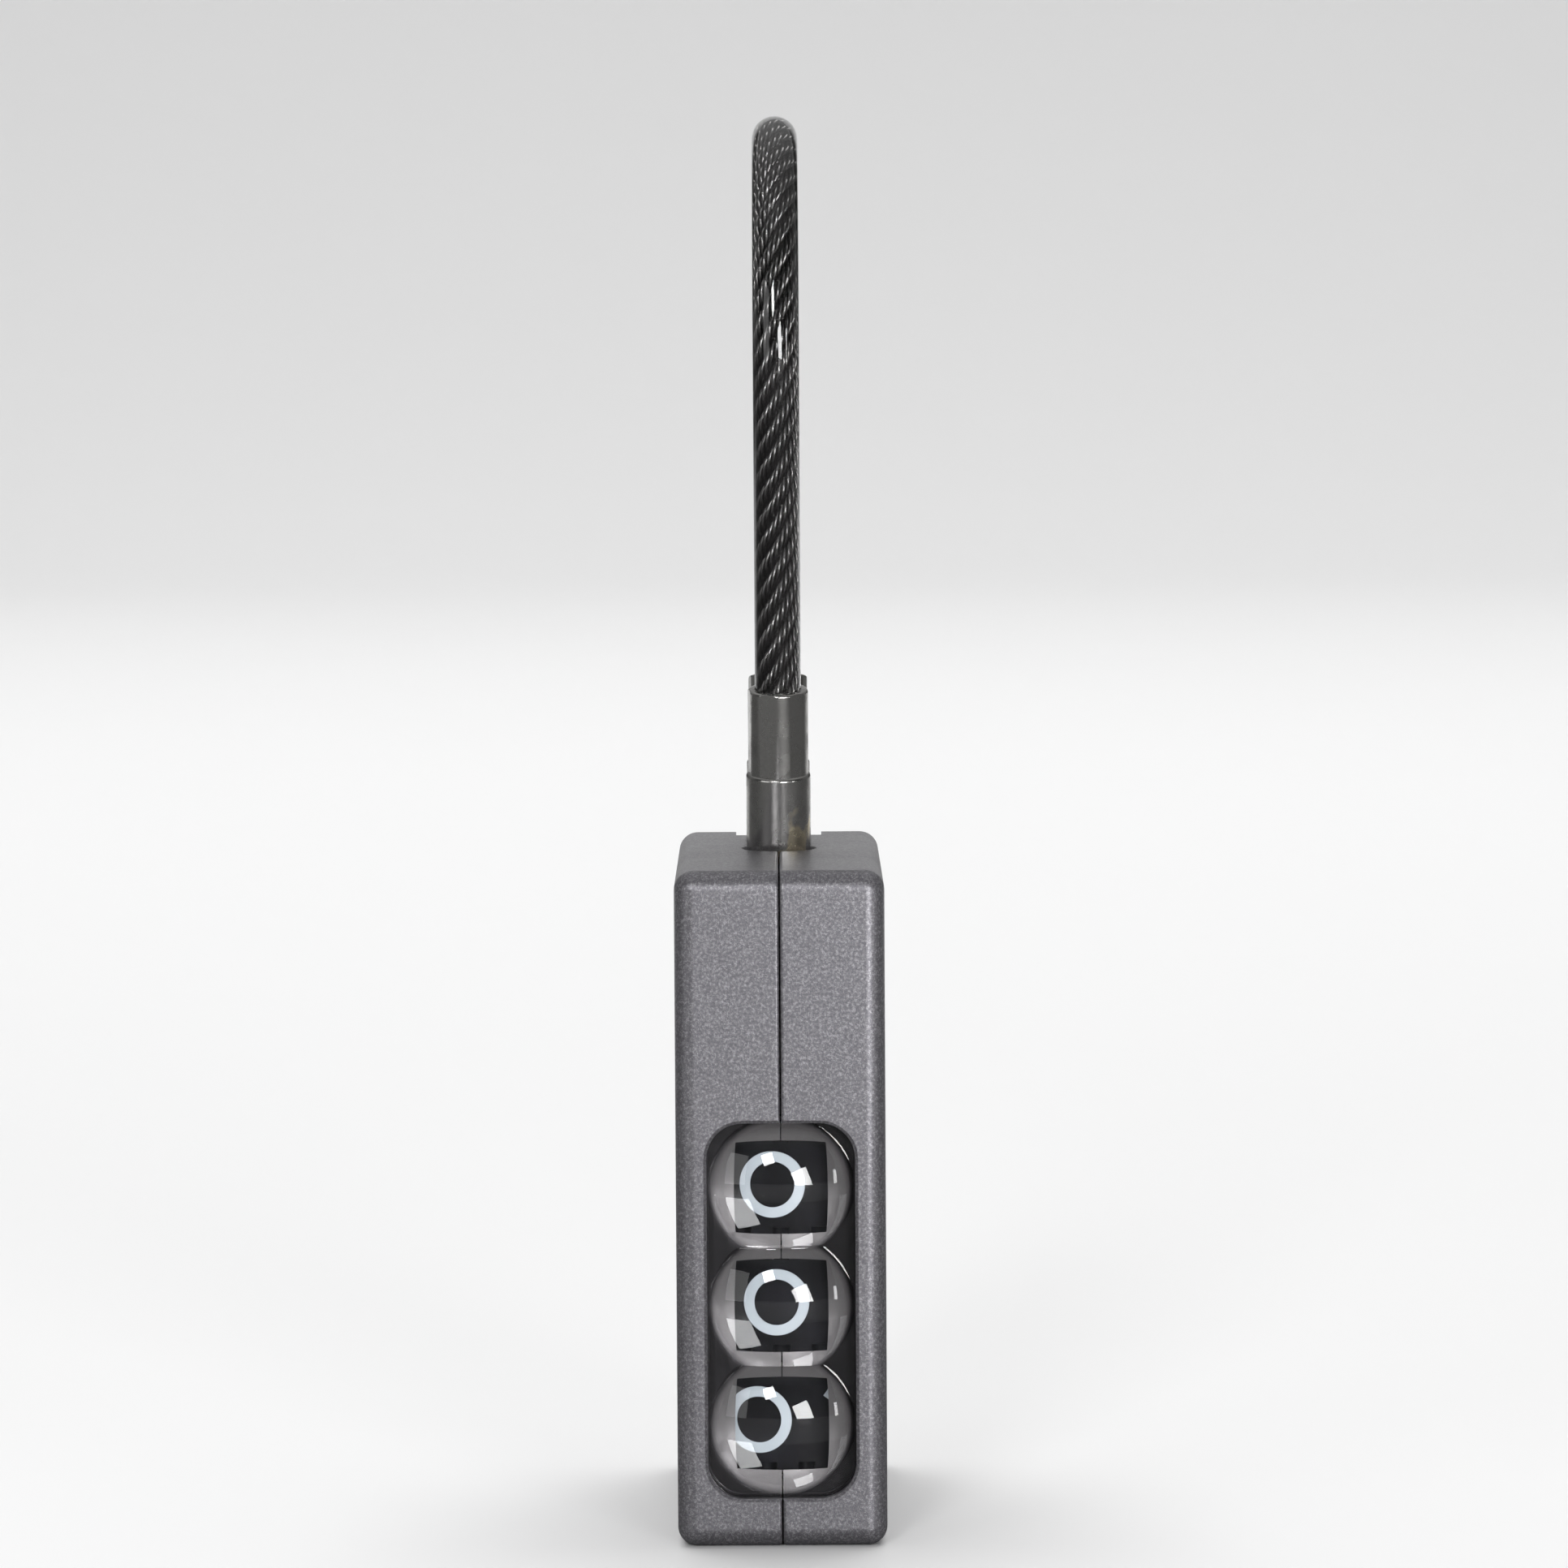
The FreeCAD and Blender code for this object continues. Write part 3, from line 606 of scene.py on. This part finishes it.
def makeStrip():
    low, high = (Vector(c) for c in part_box("magnifier_strip"))
    halfWidth, top, bottom = high.x, high.z, low.z
    corner = strip["corner"] * mm
    back, face = high.y, high.y - strip["flange"] * mm
    rise = face - low.y
    rim = strip["domeRadius"] * mm
    ball = (rim ** 2 + rise ** 2) / (2 * rise)
    gap = strip["endGap"] * mm
    dials = ("dial_lower", "dial_middle", "dial_upper")
    centres = [sum(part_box(n)[k][2] for k in (0, 1)) / 2 for n in dials]

    def halfAt(z):
        inside = min(z - bottom, top - z)
        if inside >= corner:
            return halfWidth
        return halfWidth - corner + math.sqrt(max(corner ** 2 - (corner - inside) ** 2, 0))

    def depthAt(x, z):
        best = face
        for centre in centres:
            flat = x ** 2 + (z - centre) ** 2
            if flat < rim ** 2:
                best = min(best, low.y + ball - math.sqrt(ball ** 2 - flat))
        return best

    bm = bmesh.new()
    rows = []
    for n in range(strip["rows"] + 1):
        z = bottom + (top - bottom) * n / strip["rows"]
        z = min(max(z, bottom + gap), top - gap)
        half = halfAt(z)
        row = []
        for k in range(strip["columns"] + 1):
            x = half * (2 * k / strip["columns"] - 1)
            row.append((bm.verts.new((x, depthAt(x, z), z)), bm.verts.new((x, back, z))))
        rows.append(row)
    for here, there in zip(rows, rows[1:]):
        for a, b, c, d in zip(here, here[1:], there[1:], there):
            bm.faces.new((a[0], b[0], c[0], d[0]))
            bm.faces.new((d[1], c[1], b[1], a[1]))
        for k in (0, -1):
            bm.faces.new((here[k][0], there[k][0], there[k][1], here[k][1]))
    for row in (rows[0], rows[-1]):
        for a, b in zip(row, row[1:]):
            bm.faces.new((a[0], a[1], b[1], b[0]))
    bmesh.ops.recalc_face_normals(bm, faces=bm.faces)
    for polygon in bm.faces:
        polygon.smooth = True
    for edge in bm.edges:
        edge.smooth = edge.calc_face_angle(0) < math.radians(strip["crease"])
    piece = newPiece("magnifierStrip", finishMesh(bm, "magnifierStrip"), lensClear, "case")
    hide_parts("magnifier_strip")


makeStrip()
print("window strip made")


# mm; mitre limits how far a sharp corner of a stroke sticks out, and layer keeps crossing
# strokes of one number apart
dialFace = {"stroke": 0.58, "raise": 0.03, "sink": 0.02, "layer": 0.003, "longest": 0.25,
            "mitre": 0.45}


def arc(x, y, halfWidth, halfHeight, start, end, steps=26):
    turns = [math.radians(start + (end - start) * n / steps) for n in range(steps + 1)]
    return [(x + halfWidth * math.cos(a), y + halfHeight * math.sin(a)) for a in turns]


def splitLong(line):
    # extra points, so that a straight stroke can bend round the dial
    points = line[:1]
    for (x0, y0), (x1, y1) in zip(line, line[1:]):
        steps = max(1, math.ceil(math.hypot(x1 - x0, y1 - y0) / dialFace["longest"]))
        points += [(x0 + (x1 - x0) * n / steps, y0 + (y1 - y0) * n / steps)
                   for n in range(1, steps + 1)]
    return points


# 0 to 9, each a list of strokes, each the centre line of a stroke as (x, y) in mm
numberStrokes = [
    [arc(0, 0, 1.52, 1.57, 0, 360, 64)],
    [[(-0.45, 1.05), (0.0, 1.58), (0.0, -1.58)]],
    [arc(0, 0.65, 0.92, 0.93, 165, -35) + [(-0.95, -1.58), (0.98, -1.58)]],
    [arc(0, 0.78, 0.88, 0.80, 155, -90), arc(0, -0.78, 1.0, 0.80, 90, -155)],
    [[(0.45, -1.58), (0.45, 1.58), (-1.03, -0.72), (1.03, -0.72)]],
    [[(0.88, 1.58), (-0.72, 1.58), (-0.82, 0.22)], arc(0, -0.52, 1.0, 1.06, 138, -148)],
    [arc(0, -0.62, 1.0, 0.96, 0, 360, 48), arc(1.0, -0.55, 2.0, 2.15, 180, 104)],
    [[(-0.98, 1.58), (0.95, 1.58), (-0.35, -1.58)]],
    [arc(0, 0.80, 0.84, 0.78, 0, 360, 48), arc(0, -0.78, 1.0, 0.80, 0, 360, 48)],
    [arc(0, 0.62, 1.0, 0.96, 0, 360, 48), arc(-1.0, 0.55, 2.0, 2.15, 0, -76)],
]


def addStroke(bm, line, height, wrap):
    # one stroke as a closed ribbon, its corners put on the dial by wrap
    closed = math.dist(line[0], line[-1]) < 1e-6
    points = splitLong(line)
    points = points[:-1] if closed else points
    count = len(points)
    sink = -dialFace["sink"]
    rings = []
    for n, (x, y) in enumerate(points):
        before = points[(n - 1) % count] if closed or n else points[0]
        after = points[(n + 1) % count] if closed or n < count - 1 else points[-1]
        dirIn = Vector((x - before[0], y - before[1]))
        dirOut = Vector((after[0] - x, after[1] - y))
        dirIn = dirIn.normalized() if dirIn.length else dirOut.normalized()
        dirOut = dirOut.normalized() if dirOut.length else dirIn
        middle = (dirIn + dirOut).normalized()
        half = dialFace["stroke"] / 2 / max(dialFace["mitre"], middle.dot(dirIn))
        side = Vector((-middle.y, middle.x)) * half
        rings.append([bm.verts.new(wrap(x + reach * side.x, y + reach * side.y, lift))
                      for reach, lift in ((1, height), (-1, height), (-1, sink), (1, sink))])
    for here, there in zip(rings, rings[1:] + (rings[:1] if closed else [])):
        for k in range(4):
            m = (k + 1) % 4
            bm.faces.new((here[k], here[m], there[m], there[k]))
    if not closed:
        bm.faces.new(rings[0])
        bm.faces.new(rings[-1])


def makeNumbers(name, node, body, turn):
    low, high = (Vector(c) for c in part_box(node))
    middle = (low + high) / 2
    radius = (high.y - low.y) / 2 / mm
    bm = bmesh.new()
    for number, strokes in enumerate(numberStrokes):
        def wrap(x, y, lift):
            angle = x / radius + math.radians(360 / len(numberStrokes) * number + turn)
            out = (radius + lift) * mm
            return (middle.x + out * math.sin(angle), middle.y - out * math.cos(angle),
                    middle.z + y * mm)
        for n, line in enumerate(strokes):
            addStroke(bm, line, dialFace["raise"] + n * dialFace["layer"], wrap)
    bmesh.ops.recalc_face_normals(bm, faces=bm.faces)
    newPiece(name, finishMesh(bm, name), numberWhite, body)


# degrees that each dial's zero stands from the middle of its window
dialTurns = {"lower": -10.8, "middle": -2.3, "upper": -4.0}

for level, turn in dialTurns.items():
    body = "dial_" + level
    title = level.capitalize()
    cadPiece("dial" + title, body, dialPlastic, body)
    cadPiece("clutchSleeve" + title, "clutch_sleeve_" + level, hardSteel, body)
    makeNumbers("numbers" + title, body, body, turn)
print("dials made")


for name, node, material, body, slot in (
        ("plugFerrule", "plug_ferrule", ferruleMetal, "plug", "nickel_plate"),
        ("plugPin", "plug_pin", hardSteel, "plug", "hard_steel"),
        ("anchorFerrule", "anchor_ferrule", ferruleMetal, "case", "nickel_plate"),
        ("anchorPin", "anchor_pin", hardSteel, "case", "hard_steel"),
        ("coreSleevePart", "core_sleeve", sleeveMetal, "case", "nickel_plate"),
        ("keyCorePart", "key_core", brass, "key", "core_brass"),
        ("keyWafersPart", "key_wafers", brass, "key", "core_brass"),
        ("keyCamPart", "key_cam", hardSteel, "key", "hard_steel"),
        ("coreClipPart", "core_clip", springSteel, "key", "spring_steel"),
        ("spindlePart", "spindle", hardSteel, "spindle", "hard_steel"),
        ("dialSpacersPart", "dial_spacers", nylon, "case", "natural_nylon"),
        ("detentSpringPart", "detent_spring", springSteel, "case", "spring_steel"),
        ("latchPlatePart", "latch_plate", hardSteel, "latch", "hard_steel"),
        ("resetPlungerPart", "reset_plunger", nylon, "reset", "natural_nylon")):
    cadPiece(name, node, material, body)

# each spring is a smoothed copy that joins no body; the body and the two end points listed with it
# are not used
for name, node, body, fixed, moving in (
        ("spindleSpringPart", "spindle_spring", "spindle", (0, 0, 0.02885), (0, 0, 0.0308)),
        ("latchSpringPart", "latch_spring", "latch", (0, 0.01108, 0), (0, 0.00833, 0)),
        ("resetSpringPart", "reset_spring", "reset", (0, 0, 0.00395), (0, 0, 0.0019))):
    spring = cadPiece(name, node, springSteel, None)
    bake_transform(spring)
print("inner pieces made")


# metres; fades give where the world's light goes from dark to bright, along Y and upwards
studio = {
    "floorColour": 0.86, "floorMarks": 0.985, "reach": 1.6, "front": -1.2, "depth": 1.3,
    "bend": 0.3, "bendSteps": 12, "wallTop": 0.7,
    "reflected": 0.12, "behindLow": (-0.5, 0.3, -1.0), "behindHigh": (0.5, 9.0, 9.0),
    "behindSoft": 0.1, "dark": 0.03, "bright": 0.36, "fadeBack": (-0.2, 0.9),
    "above": 0.35, "fadeUp": (0.5, 0.9),
}


def floorPaint():
    # reflections see a darker floor than the camera does, except straight behind
    material, tree, shader = newMaterial("studioFloor", Roughness=0.7)
    point = objectPoint(tree)
    marks = placeGroup(tree, smudgeGroup, point, Scale=3.0, Amount=0.3)
    tone = (studio["floorColour"],) * 3
    colour = mixColour(tree, marks["Mask"], tone, darker(tone, studio["floorMarks"]))
    behind = insideBox(tree, point, studio["behindLow"], studio["behindHigh"],
                       studio["behindSoft"])
    path = tree.nodes.new("ShaderNodeLightPath")
    share = combine(tree, "MULTIPLY", path.outputs["Is Glossy Ray"],
                    combine(tree, "SUBTRACT", 1.0, behind))
    addTone(tree, shader, share, colour, (studio["reflected"],) * 3)
    return material


def makeFloor():
    bm = bmesh.new()
    line = [(studio["front"], 0.0), (studio["depth"], 0.0)]
    bend = studio["bend"]
    for n in range(1, studio["bendSteps"] + 1):
        a = math.pi / 2 * n / studio["bendSteps"]
        line.append((studio["depth"] + bend * math.sin(a), bend - bend * math.cos(a)))
    line.append((studio["depth"] + bend, studio["wallTop"]))
    rows = [[bm.verts.new((x, y, z)) for x in (-studio["reach"], studio["reach"])]
            for y, z in line]
    for here, there in zip(rows, rows[1:]):
        bm.faces.new((here[0], here[1], there[1], there[0])).smooth = True
    mesh = finishMesh(bm, "studioFloor")
    mesh.materials.append(floorPaint())
    keep(bpy.data.objects.new("studioFloor", mesh))


# azimuth 0 is in front of the dial edge, and goes round towards +X
lights = {
    "overhead": {"azimuth": 180, "elevation": 70, "distance": 1.35, "size": (1.5, 1.5),
                 "power": 19.0, "target": (0, 0.15, 0.0), "glossy": False, "spin": 0},
    "frontLeft": {"azimuth": -13, "elevation": 22, "distance": 0.62, "size": (0.115, 0.115),
                  "power": 1.0, "target": (0, 0, 0.03), "glossy": True, "spin": 20},
    "frontRight": {"azimuth": 20, "elevation": 3, "distance": 0.62, "size": (0.17, 0.2),
                   "power": 2.1, "target": (0, 0, 0.03), "glossy": True, "spin": 20},
    "rightStrip": {"azimuth": 54, "elevation": 3, "distance": 0.6, "size": (0.05, 0.12),
                   "power": 0.2, "target": (0, 0, 0.03), "glossy": True, "spin": 0},
    "leftFill": {"azimuth": -48, "elevation": 8, "distance": 0.6, "size": (0.3, 0.35),
                 "power": 0.5, "target": (0, 0, 0.03), "glossy": True, "spin": 0},
}


def softLight(name, look):
    data = bpy.data.lights.new(name, "AREA")
    data.shape = "RECTANGLE"
    data.size, data.size_y = look["size"]
    data.energy = look["power"]
    light = keep(bpy.data.objects.new(name, data))
    a, e = math.radians(look["azimuth"]), math.radians(look["elevation"])
    away = Vector((math.sin(a) * math.cos(e), -math.cos(a) * math.cos(e), math.sin(e)))
    light.location = Vector(look["target"]) + look["distance"] * away
    spin = Matrix.Rotation(math.radians(look["spin"]), 3, "Z")
    light.rotation_euler = (away.to_track_quat("Z", "Y").to_matrix() @ spin).to_euler()
    light.visible_camera = False
    light.visible_glossy = look["glossy"]


def makeWorld():
    # dark on the camera's side, brighter behind and overhead
    world = bpy.data.worlds.new("studio")
    world.use_nodes = True
    tree = world.node_tree
    background = tree.nodes["Background"]
    coordinate = tree.nodes.new("ShaderNodeTexCoord")
    split = splitPoint(tree, coordinate.outputs["Generated"])
    level = ranged(tree, split["Y"], *studio["fadeBack"], studio["dark"], studio["bright"])
    above = ranged(tree, split["Z"], *studio["fadeUp"], 0.0, studio["above"])
    feed(tree, combine(tree, "ADD", level, above), background.inputs["Strength"])
    background.inputs["Color"].default_value = (1, 1, 1, 1)
    bpy.context.scene.world = world


def makeStudio():
    makeFloor()
    makeWorld()
    for name, look in lights.items():
        softLight(name, look)
    bpy.context.scene.view_settings.view_transform = "Standard"
    bpy.context.scene.view_settings.look = "None"


makeStudio()
print("studio made")
